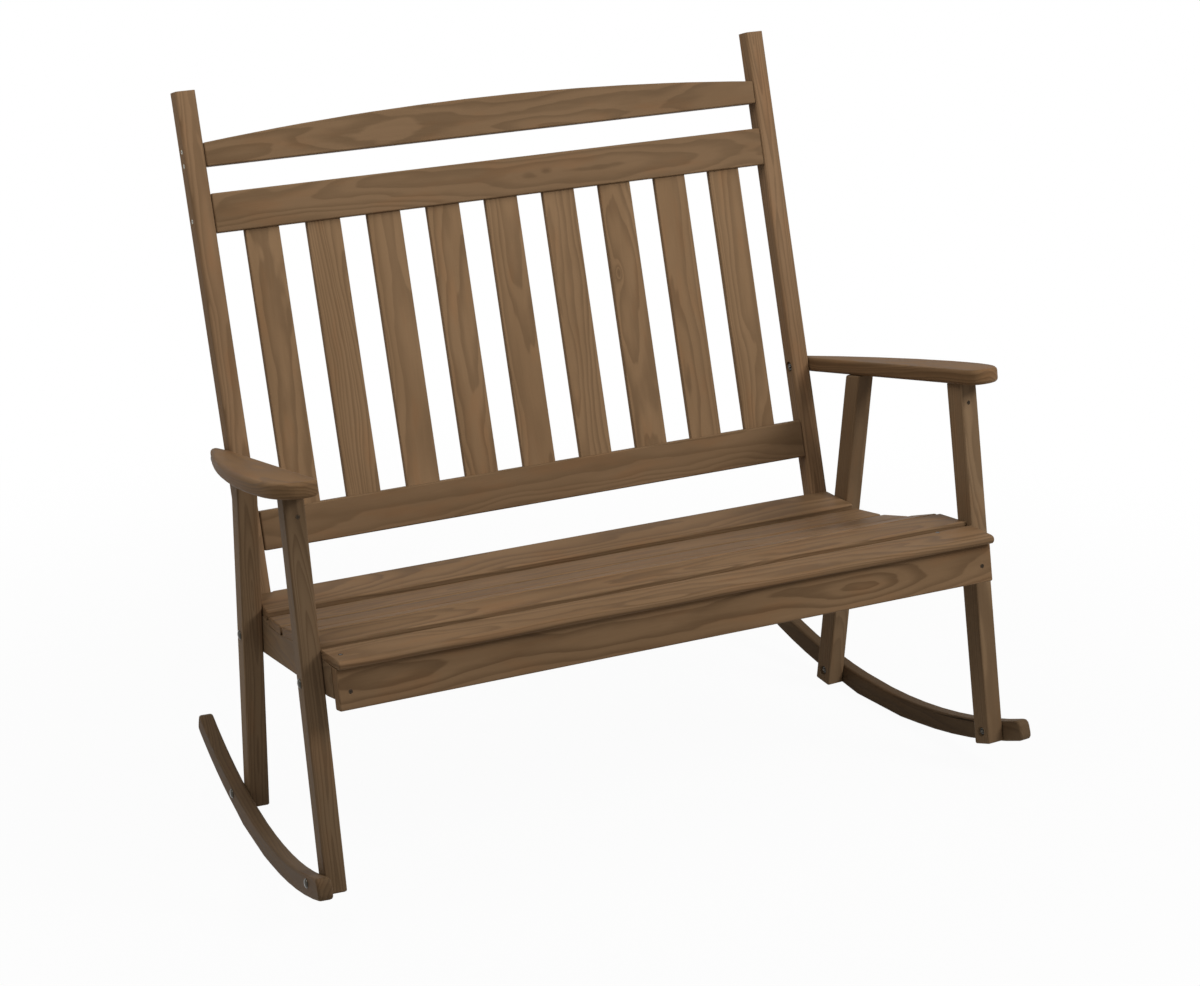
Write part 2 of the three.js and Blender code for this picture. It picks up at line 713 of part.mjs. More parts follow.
const bench = new THREE.Group();
bench.rotation.x = -leanAngle;
const back = new THREE.Group();
back.rotation.x = -backRake;
back.position.set(0, postFootDepth, postFootHeight);
bench.add(back);

// Back
addMesh(back, "back_post_right", makePost(), darkWood);
addMesh(back, "back_post_left", mirrored(makePost()), darkWood);
const lowerRail = makeBackRail(lowerRailAbove, lowerRailHeight, lowerRailTop - mortiseDepth, lowerRailTop + cutOverrun);
addMesh(back, "back_rail_lower", lowerRail, stainedWood);
const upperHousingTop = upperRailAbove + mortiseDepth;
const upperRail = makeBackRail(upperRailAbove, upperRailHeight, upperRailAbove - cutOverrun, upperHousingTop);
addMesh(back, "back_rail_upper", upperRail, stainedWood);
addMesh(back, "crest_rail", makeCrestRail(), stainedWood);
for (let i = 0; i < backSlatCount; i += 1) {
  addMesh(back, `back_slat_${i + 1}`, makeBackSlat(i), stainedWood);
}

// Seat, from the rear slat to the front one
sections.forEach((section, index) => {
  addMesh(bench, `seat_slat_${index + 1}`, makeSeatSlat(index), paleWood);
});
addMesh(bench, "seat_apron", makeApron(), stainedWood);
addMesh(bench, "seat_centre_support", makeCentreSupport(), darkWood);

// Side frames, arms and their bolts
const sidePieces = [
  ["front_leg", makeFrontLeg(), stainedWood],
  ["rear_leg", makeRearLeg(), stainedWood],
  ["rocker", makeRocker(), darkWood],
  ["seat_side_rail", makeSideRail(), darkWood],
];
for (const [side, direction] of [["right", 1], ["left", -1]]) {
  const frame = new THREE.Group();
  frame.position.x = direction * sideFrameHalfWidth;
  frame.rotation.z = direction * toeAngle;
  bench.add(frame);
  for (const [name, geometry, finish] of sidePieces) {
    const turned = side === "left" ? mirrored(geometry) : geometry.clone();
    addMesh(frame, `${name}_${side}`, turned, finish);
  }
  addBolt(frame, side, "front_rocker", rockerBoltFront, rockerOuter, legCounterboreDepth);
  addBolt(frame, side, "rear_rocker", rockerBoltRear, rockerOuter, legCounterboreDepth);
  addBolt(frame, side, "front_seat", seatBoltFront, legWidth, -sideRailThickness);
  addBolt(frame, side, "rear_seat", seatBoltRear, legWidth, -sideRailThickness);
  addBolt(frame, side, "back_seat", backBolt, -fitGap, postNutSeat);
  const arm = makeArm();
  addMesh(bench, `armrest_${side}`, side === "left" ? mirrored(arm) : arm, stainedWood);
  addBolt(bench, side, "arm", [armBoltDepth, armBoltHeight], armBoltSeat, postInner + counterboreDepth);
}

// Stand the bench on the ground, with the origin under the middle of its bounding box.
const part = new THREE.Group();
part.add(bench);
part.updateMatrixWorld(true);
const bounds = new THREE.Box3().setFromObject(part, true);
const centre = bounds.getCenter(new THREE.Vector3());
bench.position.set(-centre.x, -centre.y, -bounds.min.z);

export default part;
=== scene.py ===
from math import cos, pi, radians, sin, tan

import bmesh
import bpy
import numpy as np
from mathutils import Matrix, Vector
from mathutils.bvhtree import BVHTree


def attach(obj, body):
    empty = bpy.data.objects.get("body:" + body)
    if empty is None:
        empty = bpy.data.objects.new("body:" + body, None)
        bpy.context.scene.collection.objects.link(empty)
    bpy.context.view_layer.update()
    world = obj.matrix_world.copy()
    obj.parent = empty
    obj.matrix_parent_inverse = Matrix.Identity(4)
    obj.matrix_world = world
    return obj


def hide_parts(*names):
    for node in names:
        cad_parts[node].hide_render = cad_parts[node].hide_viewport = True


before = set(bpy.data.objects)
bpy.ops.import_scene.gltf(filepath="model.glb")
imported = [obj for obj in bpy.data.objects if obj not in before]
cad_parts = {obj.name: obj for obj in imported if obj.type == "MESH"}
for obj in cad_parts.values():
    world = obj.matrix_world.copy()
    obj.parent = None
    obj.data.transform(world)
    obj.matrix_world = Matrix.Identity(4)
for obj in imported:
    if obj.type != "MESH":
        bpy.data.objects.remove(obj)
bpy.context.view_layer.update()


# The two rockers: curved boards of stained pine, sawn from a wide plank and well rounded over
# along every arris. Each is bolted to the outside of a front and a rear leg.
ROCKER_EASING = 0.0048
# The rocker browns are darker than the legs': partly a darker stain, and partly painted shade, as
# the rockers stand low under the bench.
ROCKER_BROWN_WITH_SHADE = (0.132, 0.084, 0.046)
ROCKER_DARK_WITH_SHADE = (0.084, 0.052, 0.028)
ROCKER_RING_WIDTH = 0.005
ROCKER_PITH_DEPTH = (0.08, 0.12)
ROCKER_OFF_MIDDLE = 0.1


def new_group(name, inputs, outputs):
    """An empty node group with sockets of the given names, kinds and starting values."""
    group = bpy.data.node_groups.new(name, "ShaderNodeTree")
    for label, kind, value in inputs:
        socket = group.interface.new_socket(label, in_out="INPUT", socket_type=kind)
        if value is not None:
            socket.default_value = value
    for label, kind in outputs:
        group.interface.new_socket(label, in_out="OUTPUT", socket_type=kind)
    entry = group.nodes.new("NodeGroupInput")
    leave = group.nodes.new("NodeGroupOutput")
    return group, entry, leave


def new_material(name):
    """A new material, its node tree and the Principled shader in it."""
    material = bpy.data.materials.new(name)
    material.use_nodes = True
    tree = material.node_tree
    return material, tree, tree.nodes["Principled BSDF"]


def put(tree, kind, values=(), **settings):
    """A new node. Values go into its inputs by name or number, as links or as constants."""
    node = tree.nodes.new(kind)
    for key, value in settings.items():
        setattr(node, key, value)
    for key, value in dict(values).items():
        if isinstance(value, bpy.types.NodeSocket):
            tree.links.new(value, node.inputs[key])
        else:
            node.inputs[key].default_value = value
    return node


def calculate(tree, operation, *values):
    """Arithmetic on numbers."""
    return put(tree, "ShaderNodeMath", enumerate(values), operation=operation).outputs[0]


def reckon(tree, operation, *vectors):
    """Arithmetic on vectors, which gives a number for a length or a dot product."""
    node = put(tree, "ShaderNodeVectorMath", enumerate(vectors), operation=operation)
    return node.outputs["Value" if operation in ("LENGTH", "DOT_PRODUCT") else "Vector"]


def stretched_noise(tree, place, stretch, detail=2, scale=1, roughness=0.5):
    """Noise whose cells are long where the stretch of its place is small."""
    values = {
        "Vector": reckon(tree, "MULTIPLY", place, stretch),
        "Scale": scale,
        "Detail": detail,
        "Roughness": roughness,
    }
    return put(tree, "ShaderNodeTexNoise", values)


def smooth_step(tree, value, low, high):
    """0 at the low value and 1 at the high one, with a soft rise between them."""
    values = {"Value": value, "From Min": low, "From Max": high}
    return put(
        tree, "ShaderNodeMapRange", values, interpolation_type="SMOOTHSTEP"
    ).outputs["Result"]


def between(tree, share, low, high):
    """A number that runs from low to high as its share runs from 0 to 1."""
    values = {"Value": share, "To Min": low, "To Max": high}
    return put(tree, "ShaderNodeMapRange", values).outputs["Result"]


MIX_SHARE, MIX_FIRST, MIX_SECOND, MIX_RESULT = 0, 6, 7, 2


def blend_colours(tree, share, first, second, kind="MIX"):
    """The first colour with a share of the second. Each may be a socket or a constant."""
    values = {MIX_SHARE: share}
    for key, colour in ((MIX_FIRST, first), (MIX_SECOND, second)):
        values[key] = colour if isinstance(colour, bpy.types.NodeSocket) else (*colour, 1)
    node = put(tree, "ShaderNodeMix", values, data_type="RGBA", blend_type=kind)
    return node.outputs[MIX_RESULT]


# Each pair is a stretch of the wood's place and a multiple of how far its rings wander.
RING_WANDERINGS = (((1.6, 7, 7), 5), ((9, 38, 38), 0.55))
KNOT_STRETCH = (0.45, 1, 0.3)
KNOT_FAR_AWAY = (9.0, 9.0, 9.0)
KNOT_CORE = 0.6
KNOT_PUSH = 1.2
KNOT_EDGE = (0.75, 0.3)
SEASON_PACE = 0.31
SEASON_SPREAD = 2.4
LATE_WOOD_RISE = (0.22, 0.86)
LATE_WOOD_FALL = (1.0, 0.88)
LATE_WOOD_LEAST = 0.35
LATE_WOOD_SPREAD = 0.9
FINE_FIBRES = (14, 620, 620)
COARSE_FIBRES = (4, 150, 150)
FINE_SHARE, COARSE_SHARE = 0.55, 0.45


def build_growth_rings():
    """Growth rings round the log's X axis. Each board is sawn from its own place in the log."""
    group, entry, leave = new_group(
        "growth rings",
        [
            ("Board", "NodeSocketVector", None),
            ("Ring Width", "NodeSocketFloat", 0.0045),
            ("Wander", "NodeSocketFloat", 0.012),
            ("Knot", "NodeSocketVector", KNOT_FAR_AWAY),
            ("Knot Size", "NodeSocketFloat", 0.012),
        ],
        [
            ("Late Wood", "NodeSocketFloat"),
            ("Fibre", "NodeSocketFloat"),
            ("Knot", "NodeSocketFloat"),
        ],
    )
    board = entry.outputs["Board"]
    knot_size = entry.outputs["Knot Size"]
    moved = board
    for stretch, multiple in RING_WANDERINGS:
        noise = stretched_noise(group, board, stretch)
        centred = reckon(group, "SUBTRACT", noise.outputs["Color"], (0.5, 0.5, 0.5))
        amount = calculate(group, "MULTIPLY", entry.outputs["Wander"], multiple)
        values = {0: centred, "Scale": amount}
        push = put(group, "ShaderNodeVectorMath", values, operation="SCALE")
        moved = reckon(group, "ADD", moved, push.outputs["Vector"])
    across = reckon(group, "MULTIPLY", moved, (0, 1, 1))
    radius = reckon(group, "LENGTH", across)

    knot_gap = reckon(group, "SUBTRACT", board, entry.outputs["Knot"])
    knot_far = reckon(group, "LENGTH", reckon(group, "MULTIPLY", knot_gap, KNOT_STRETCH))
    knot_far = calculate(group, "DIVIDE", knot_far, knot_size)
    squared = calculate(group, "MULTIPLY", knot_far, knot_far)
    swirl = calculate(group, "DIVIDE", 1.0, calculate(group, "ADD", squared, KNOT_CORE))
    strength = calculate(group, "MULTIPLY", knot_size, KNOT_PUSH)
    radius = calculate(group, "ADD", radius, calculate(group, "MULTIPLY", swirl, strength))

    rings = calculate(group, "DIVIDE", radius, entry.outputs["Ring Width"])
    years = calculate(group, "MULTIPLY", rings, SEASON_PACE)
    season_values = {"W": years, "Scale": 1, "Detail": 1}
    seasons = put(group, "ShaderNodeTexNoise", season_values, noise_dimensions="1D").outputs["Fac"]
    spread = calculate(group, "MULTIPLY", seasons, SEASON_SPREAD)
    part = calculate(group, "FRACT", calculate(group, "ADD", rings, spread))
    rise = smooth_step(group, part, *LATE_WOOD_RISE)
    fall = smooth_step(group, part, *LATE_WOOD_FALL)
    strength = calculate(group, "MULTIPLY", seasons, LATE_WOOD_SPREAD)
    strength = calculate(group, "ADD", strength, LATE_WOOD_LEAST)
    late = calculate(group, "MULTIPLY", calculate(group, "MULTIPLY", rise, fall), strength)
    group.links.new(late, leave.inputs["Late Wood"])

    fine = stretched_noise(group, moved, FINE_FIBRES, detail=3, roughness=0.6).outputs["Fac"]
    coarse = stretched_noise(group, moved, COARSE_FIBRES).outputs["Fac"]
    fine = calculate(group, "MULTIPLY", fine, FINE_SHARE)
    coarse = calculate(group, "MULTIPLY", coarse, COARSE_SHARE)
    group.links.new(calculate(group, "ADD", fine, coarse), leave.inputs["Fibre"])
    group.links.new(smooth_step(group, knot_far, *KNOT_EDGE), leave.inputs["Knot"])
    return group


# Each row is a stretch, the noise's scale and detail, the band in which the stain changes,
# and the colour by which it changes.
STAIN_CLOUDS = (
    ((3.2, 14, 14), 1, 3, (0.34, 0.68), (0.84, 0.82, 0.79)),
    ((5.5, 21, 21), 1.7, 2, (0.5, 0.72), (1.05, 0.97, 0.91)),
)


def build_uneven_stain():
    """Stain that took more in some places than in others, in slow cloudy patches."""
    group, entry, leave = new_group(
        "uneven stain",
        [
            ("Place", "NodeSocketVector", None),
            ("Colour", "NodeSocketColor", None),
            ("Amount", "NodeSocketFloat", 0.5),
        ],
        [("Colour", "NodeSocketColor")],
    )
    colour = entry.outputs["Colour"]
    for stretch, scale, detail, band, tint in STAIN_CLOUDS:
        noise = stretched_noise(group, entry.outputs["Place"], stretch, detail, scale)
        cloud = smooth_step(group, noise.outputs["Fac"], *band)
        share = calculate(group, "MULTIPLY", cloud, entry.outputs["Amount"])
        colour = blend_colours(group, share, colour, tint, "MULTIPLY")
    group.links.new(colour, leave.inputs["Colour"])
    return group


# The arrises' mask and lightening: partly wear, and partly a painted highlight on the rounded
# edges.
EDGE_WIDTH = 0.004
EDGE_BEND = (0.995, 0.9)
EDGE_BREAKS = (22, 60, 60)
EDGE_PATCH_BAND = (0.38, 0.66)


def build_arris_wear_and_highlight():
    """A mask of the arrises: partly where hands and cloths have thinned the stain, and partly a
    painted highlight along their rounded edges.
    """
    group, entry, leave = new_group(
        "arris wear and painted highlight",
        [("Place", "NodeSocketVector", None), ("Width", "NodeSocketFloat", EDGE_WIDTH)],
        [("Mask", "NodeSocketFloat")],
    )
    rounded = put(group, "ShaderNodeBevel", {"Radius": entry.outputs["Width"]}, samples=4)
    surface = put(group, "ShaderNodeNewGeometry")
    normals = (rounded.outputs["Normal"], surface.outputs["Normal"])
    bend = smooth_step(group, reckon(group, "DOT_PRODUCT", *normals), *EDGE_BEND)
    breaks = stretched_noise(group, entry.outputs["Place"], EDGE_BREAKS, detail=3)
    arris_patches = smooth_step(group, breaks.outputs["Fac"], *EDGE_PATCH_BAND)
    group.links.new(calculate(group, "MULTIPLY", bend, arris_patches), leave.inputs["Mask"])
    return group


growth_rings = build_growth_rings()
uneven_stain = build_uneven_stain()
arris_wear_and_highlight_group = build_arris_wear_and_highlight()

FIBRE_BAND = (0.34, 0.66)
FIBRE_DARKENS = 0.16
KNOT_DARKENS = 0.95
STAIN_UNEVENNESS = 0.75
ARRIS_WEAR_AND_HIGHLIGHT_LIGHTER = 1.22
ARRIS_WEAR_AND_HIGHLIGHT_SHARE = 0.45
RUBBED_SMOOTHER = 0.07
ROUGHNESS_SWING = 0.06
RING_RELIEF = 0.45
FIBRE_RELIEF = 0.8
RELIEF_STRENGTH = 0.35
RELIEF_HEIGHT = 0.0004
WOOD_SPECULAR = 0.05


def stained_pine(name, brown, dark, ring_width, wander=0.012, contrast=0.8, roughness=0.56):
    """Pine under a thin brown stain: soft rings, fine fibres, cloudy patches, and lighter arrises
    that are partly wear and partly painted highlight.
    """
    material, tree, shader = new_material(name)
    board = put(tree, "ShaderNodeAttribute", attribute_name="board place").outputs["Vector"]
    grain_values = {"Board": board, "Ring Width": ring_width, "Wander": wander}
    grain = put(tree, "ShaderNodeGroup", grain_values, node_tree=growth_rings, name="grain")
    late_wood = grain.outputs["Late Wood"]
    fibre = smooth_step(tree, grain.outputs["Fibre"], *FIBRE_BAND)
    share = calculate(tree, "MULTIPLY", late_wood, contrast)
    share = calculate(tree, "ADD", share, calculate(tree, "MULTIPLY", fibre, FIBRE_DARKENS))
    knot = calculate(tree, "MULTIPLY", grain.outputs["Knot"], KNOT_DARKENS)
    share = calculate(tree, "MAXIMUM", share, knot)

    colour = blend_colours(tree, share, brown, dark)
    stain_values = {"Place": board, "Colour": colour, "Amount": STAIN_UNEVENNESS}
    stain = put(tree, "ShaderNodeGroup", stain_values, node_tree=uneven_stain)
    edges = put(tree, "ShaderNodeGroup", {"Place": board}, node_tree=arris_wear_and_highlight_group)
    # The arrises are made lighter: partly thinned stain, and partly a painted highlight on their
    # rounded edges.
    lighter = tuple(ARRIS_WEAR_AND_HIGHLIGHT_LIGHTER * part for part in brown)
    wear_highlight_share = calculate(tree, "MULTIPLY", edges.outputs["Mask"], ARRIS_WEAR_AND_HIGHLIGHT_SHARE)
    colour = blend_colours(tree, wear_highlight_share, stain.outputs["Colour"], lighter)
    tree.links.new(colour, shader.inputs["Base Color"])

    rough = between(tree, share, roughness + ROUGHNESS_SWING, roughness - ROUGHNESS_SWING)
    smoother = calculate(tree, "MULTIPLY", edges.outputs["Mask"], RUBBED_SMOOTHER)
    rough = calculate(tree, "SUBTRACT", rough, smoother)
    tree.links.new(rough, shader.inputs["Roughness"])
    rings = calculate(tree, "MULTIPLY", late_wood, RING_RELIEF)
    fibres = calculate(tree, "MULTIPLY", grain.outputs["Fibre"], FIBRE_RELIEF)
    relief = calculate(tree, "ADD", rings, fibres)
    bump_values = {"Strength": RELIEF_STRENGTH, "Distance": RELIEF_HEIGHT, "Height": relief}
    bump = put(tree, "ShaderNodeBump", bump_values)
    tree.links.new(bump.outputs["Normal"], shader.inputs["Normal"])
    shader.inputs["Specular IOR Level"].default_value = WOOD_SPECULAR
    return material


def principal(vectors):
    """The direction that a set of vectors keeps to most, long ones counting most."""
    rows = np.array([tuple(vector) for vector in vectors])
    return Vector(np.linalg.eigh(rows.T @ rows)[1][:, 2])


def corners_of(node):
    """The places of a CAD piece's corners."""
    return [corner.co.copy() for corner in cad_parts[node].data.vertices]


def surface_of(node):
    """A CAD piece's surface, to find the nearest place on it or where a line meets it."""
    faces = [tuple(face.vertices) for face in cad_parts[node].data.polygons]
    return BVHTree.FromPolygons(corners_of(node), faces)


wooden = {
    node: surface_of(node)
    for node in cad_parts
    if "bolt" not in node and "nut" not in node
}

TOUCHING = 0.0012
ARRIS_LEAST_TURN = radians(50)
ARRIS_LEAST_RUN = 0.25


def meets_another(edge, node):
    """Whether an edge lies against another piece all along, where it stays square to fit it."""
    first, last = (corner.co for corner in edge.verts)
    places = (first, (first + last) / 2, last)
    for other, surface in wooden.items():
        if other != node and all(surface.find_nearest(place, TOUCHING)[0] for place in places):
            return True
    return False


def outer_arrises(mesh):
    """Sharp outward edges that join into long runs, so not the rims of holes and housings."""
    sharp = set()
    for edge in mesh.edges:
        if edge.is_manifold and edge.calc_face_angle_signed() > ARRIS_LEAST_TURN:
            sharp.add(edge)
    kept = []
    while sharp:
        run, open_edges = set(), [sharp.pop()]
        while open_edges:
            edge = open_edges.pop()
            run.add(edge)
            for corner in edge.verts:
                for other in corner.link_edges:
                    if other in sharp:
                        sharp.remove(other)
                        open_edges.append(other)
        if sum(edge.calc_length() for edge in run) > ARRIS_LEAST_RUN:
            kept.extend(run)
    return kept


LOG_LENGTH = 3.0
SAWN_ASKEW = 1.3


def place_in_log(mesh, seed, pith_depth, off_middle):
    """A board's place in a log whose pith runs along X, drawn at random for its seed."""
    along = principal(edge.verts[1].co - edge.verts[0].co for edge in mesh.edges)
    broad = principal(
        (face.normal - along * face.normal.dot(along)) * face.calc_area() for face in mesh.faces
    )
    across = broad.cross(along).normalized()
    broad = along.cross(across).normalized()
    middle = sum((corner.co for corner in mesh.verts), Vector()) / len(mesh.verts)
    reach = max(abs((corner.co - middle).dot(across)) for corner in mesh.verts)

    lot = np.random.default_rng(seed)
    askew = Matrix.Rotation(radians(lot.uniform(-SAWN_ASKEW, SAWN_ASKEW)), 3, across)
    log = askew @ Matrix((along, across, broad)).transposed()
    pith = middle + across * lot.uniform(-off_middle, off_middle) * reach
    pith -= broad * lot.choice((-1, 1)) * lot.uniform(*pith_depth)
    pith -= along * lot.uniform(0.0, LOG_LENGTH)
    return Matrix.Translation(pith) @ log.to_4x4()


WELD_REACH = 1e-6
FLAT_WITHIN = radians(0.6)
EASING_STEPS = 3
BOARD_CREASE = radians(48)


def eased_board(
    node, easing, material, seed,
    pith_depth=(0.03, 0.1), off_middle=0.8, tight=True, knot=None,
):
    """The CAD piece as a real board, with eased arrises and its own place in a log. A tight
    board keeps the arrises square that lie against other pieces."""
    mesh = bmesh.new()
    mesh.from_mesh(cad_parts[node].data)
    bmesh.ops.remove_doubles(mesh, verts=mesh.verts, dist=WELD_REACH)
    bmesh.ops.dissolve_limit(mesh, angle_limit=FLAT_WITHIN, verts=mesh.verts, edges=mesh.edges)
    into_log = place_in_log(mesh, seed, pith_depth, off_middle).inverted()

    if easing:
        arrises = outer_arrises(mesh)
        bmesh.ops.bevel(
            mesh,
            geom=[edge for edge in arrises if not (tight and meets_another(edge, node))],
            offset=easing,
            segments=EASING_STEPS,
            profile=0.5,
            affect="EDGES",
            clamp_overlap=False,
        )
    for face in mesh.faces:
        face.smooth = True
    data = bpy.data.meshes.new(f"{node}_board")
    mesh.to_mesh(data)
    mesh.free()
    if knot:
        knot_place, knot_size = knot
        grain = material.node_tree.nodes["grain"]
        grain.inputs["Knot"].default_value = into_log @ Vector(knot_place)
        grain.inputs["Knot Size"].default_value = knot_size
    in_log = data.attributes.new("board place", "FLOAT_VECTOR", "POINT")
    places = [part for corner in data.vertices for part in into_log @ corner.co]
    in_log.data.foreach_set("vector", places)
    data.set_sharp_from_angle(angle=BOARD_CREASE)
    data.materials.append(material)
    piece = bpy.data.objects.new(f"{node}_board", data)
    bpy.context.scene.collection.objects.link(piece)
    even = piece.modifiers.new("even normals", "WEIGHTED_NORMAL")
    even.keep_sharp = True
    bpy.context.view_layer.update()
    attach(piece, "root")
    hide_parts(node)


# Rocker wood, darkened partly by painted shade.
rocker_pine = stained_pine("rocker wood with painted shade", ROCKER_BROWN_WITH_SHADE, ROCKER_DARK_WITH_SHADE, ROCKER_RING_WIDTH)
for seed, side in enumerate(("left", "right"), start=11):
    eased_board(
        f"rocker_{side}", ROCKER_EASING, rocker_pine, seed,
        pith_depth=ROCKER_PITH_DEPTH, off_middle=ROCKER_OFF_MIDDLE, tight=False,
    )


# The four legs: pine bars between the rockers and the arms, the rear ones splayed back. Their
# corners are rounded over and their grain is close and straight. Each leg's brightness differs a
# little: partly its own take of the stain, and partly painted light and shade, darker at the front
# left.
LEG_EASING = 0.0035
LEG_BROWN = (0.196, 0.126, 0.070)
LEG_DARK = (0.130, 0.081, 0.044)
LEG_RING_WIDTH = 0.0036
LEG_WANDER = 0.008
# Brightness for each leg: partly the stain, and partly painted light and shade, the front left leg
# darker and the others lighter.
LEG_TONES_AND_LIGHT = {
    "front_leg_left": 0.9,
    "front_leg_right": 1.12,
    "rear_leg_left": 1.12,
    "rear_leg_right": 1.05,
}

for seed, (leg, tone_and_light) in enumerate(LEG_TONES_AND_LIGHT.items(), start=21):
    brown = tuple(tone_and_light * part for part in LEG_BROWN)
    dark = tuple(tone_and_light * part for part in LEG_DARK)
    leg_pine = stained_pine(f"{leg} pine", brown, dark, LEG_RING_WIDTH, LEG_WANDER)
    eased_board(leg, LEG_EASING, leg_pine, seed)


# The seat's side rails and the support under its middle: thick pine boards on edge, dished on
# top to the curve of the seat. The rails are bolted inside the legs and halved to the posts.
SIDE_RAIL_EASING = 0.0025
SIDE_RAIL_RING_WIDTH = 0.0042

side_rail_pine = stained_pine("side rail pine", LEG_BROWN, LEG_DARK, SIDE_RAIL_RING_WIDTH)
for seed, side in enumerate(("left", "right"), start=31):
    rail = f"seat_side_rail_{side}"
    eased_board(rail, SIDE_RAIL_EASING, side_rail_pine, seed)
eased_board("seat_centre_support", SIDE_RAIL_EASING, side_rail_pine, seed=33)


# The seat: six pine slats and the apron, screwed down to the side rails and the support. The
# rear slat is notched round the posts and the front one has a rounded nose.
SEAT_EASING = 0.003
SEAT_BROWN = (0.212, 0.129, 0.068)
SEAT_DARK = (0.132, 0.078, 0.040)
SEAT_RING_WIDTH = 0.0048
SEAT_WANDER = 0.010
SEAT_CONTRAST = 0.9
SEAT_ROUGHNESS = 0.52

seat_pine = stained_pine(
    "seat pine", SEAT_BROWN, SEAT_DARK,
    SEAT_RING_WIDTH, SEAT_WANDER, SEAT_CONTRAST, SEAT_ROUGHNESS,
)
for number in range(1, 7):
    eased_board(f"seat_slat_{number}", SEAT_EASING, seat_pine, seed=40 + number)
eased_board("seat_apron", SEAT_EASING, seat_pine, seed=49)


# The back posts: two long pine posts, rounded over along their length, halved at the foot over
# the side rails and bored for the bolts of the side rails and the arms.
POST_EASING = 0.0025
POST_BROWN = (0.256, 0.156, 0.084)
POST_DARK = (0.169, 0.102, 0.053)
POST_RING_WIDTH = 0.004
POST_WANDER = 0.009

post_pine = stained_pine("post pine", POST_BROWN, POST_DARK, POST_RING_WIDTH, POST_WANDER)
for seed, side in enumerate(("left", "right"), start=51):
    eased_board(f"back_post_{side}", POST_EASING, post_pine, seed)


# The back rails: the lower and upper rails hold the ends of the slats, and the crest rail is
# arched along its top. All three are pine boards between the posts, screwed through them.
BACK_RAIL_EASING = 0.0026
BACK_RAIL_BROWN = (0.202, 0.124, 0.066)
BACK_RAIL_DARK = (0.134, 0.081, 0.041)
BACK_RAIL_RING_WIDTH = 0.0065
BACK_RAIL_WANDER = 0.016
RAIL_KNOT_PLACE = (0.0869, 0.3022, 0.9563)
RAIL_KNOT_SIZE = 0.006

plain_rail_pine, knotty_rail_pine = (
    stained_pine(
        name, BACK_RAIL_BROWN, BACK_RAIL_DARK, BACK_RAIL_RING_WIDTH, BACK_RAIL_WANDER
    )
    for name in ("back rail pine", "knotty rail pine")
)
eased_board("back_rail_lower", BACK_RAIL_EASING, plain_rail_pine, seed=61)
eased_board(
    "back_rail_upper", BACK_RAIL_EASING, knotty_rail_pine, seed=62,
    knot=(RAIL_KNOT_PLACE, RAIL_KNOT_SIZE),
)
eased_board("crest_rail", BACK_RAIL_EASING, plain_rail_pine, seed=63)


# The nine back slats: thin flat pine boards with lightly eased arrises, let into the lower and
# upper rails. No two are cut from the same place, so each has its own figure.
BACK_SLAT_EASING = 0.0018
BACK_SLAT_BROWN = (0.250, 0.154, 0.081)
BACK_SLAT_DARK = (0.164, 0.099, 0.051)
BACK_SLAT_RING_WIDTH = 0.0055
BACK_SLAT_WANDER = 0.013
SLAT_SWIRL_PLACE = (0.1998, 0.2491, 0.7768)
SLAT_SWIRL_SIZE = 0.0065

plain_slat_pine, swirled_slat_pine = (
    stained_pine(
        name, BACK_SLAT_BROWN, BACK_SLAT_DARK, BACK_SLAT_RING_WIDTH, BACK_SLAT_WANDER
    )
    for name in ("back slat pine", "swirled slat pine")
)
for number in (1, 2, 3, 4, 5, 6, 8, 9):
    slat = f"back_slat_{number}"
    eased_board(slat, BACK_SLAT_EASING, plain_slat_pine, seed=70 + number)
eased_board(
    "back_slat_7", BACK_SLAT_EASING, swirled_slat_pine, seed=77,
    knot=(SLAT_SWIRL_PLACE, SLAT_SWIRL_SIZE),
)


# The armrests: broad pine boards, straight inside and bulging outside, rounded over all round
# and tapered to a narrow tail beside the post, to which each is bolted.
ARM_BROWN = (0.188, 0.110, 0.054)
ARM_DARK = (0.120, 0.069, 0.033)
ARM_RING_WIDTH = 0.0055
ARM_WANDER = 0.014
ARM_EASING = 0

arm_pine = stained_pine("arm pine", ARM_BROWN, ARM_DARK, ARM_RING_WIDTH, ARM_WANDER)
for seed, side in enumerate(("left", "right"), start=81):
    eased_board(f"armrest_{side}", ARM_EASING, arm_pine, seed)


# The carriage bolts: zinc-plated steel, with a shallow domed head that has a thin rim, a plain
# shank and a threaded tail. They run through the legs, rails, posts and arms.
BOLT_RADIUS = 0.003175
BOLT_SIDES = 32
HEAD_RADIUS = 0.00775
HEAD_HEIGHT = 0.0036
RIM_HEIGHT = 0.0007
RIM_EASING = 0.0002
RIM_DRAFT = 0.0001
DOME_INSET = 0.0006
DOME_STEPS = 8
THREAD_LENGTH = 0.012
THREAD_PITCH = 0.00127
THREAD_DEPTH = 0.0006
TAIL_CHAMFER = 0.0006
TAIL_SHARE = 0.8
# The plate is given a near-black colour: a painted dark reflection, not the pale colour of zinc
# itself.
ZINC_WITH_DARK_REFLECTION = (0.052, 0.048, 0.04)
TURNING_MARKS = (5200, 60, 60)
DULL_CLOUD_SCALE, DULL_CLOUD_BAND = 420, (0.4, 0.7)
DULL_TINT, DULL_SHARE = (0.8, 0.8, 0.78), 0.5
SPECK_SCALE, SPECK_BAND = 1300, (0.62, 0.74)
SPECK_COLOUR, SPECK_SHARE = (0.16, 0.12, 0.08), 0.6
PLATE_ROUGHNESS = (0.14, 0.3)
PLATE_METALLIC = 0.9
PLATE_RELIEF = 0.00008
PLATE_RELIEF_STRENGTH = 0.3
DULL_RELIEF = 0.6
TURNED_CREASE = radians(38)


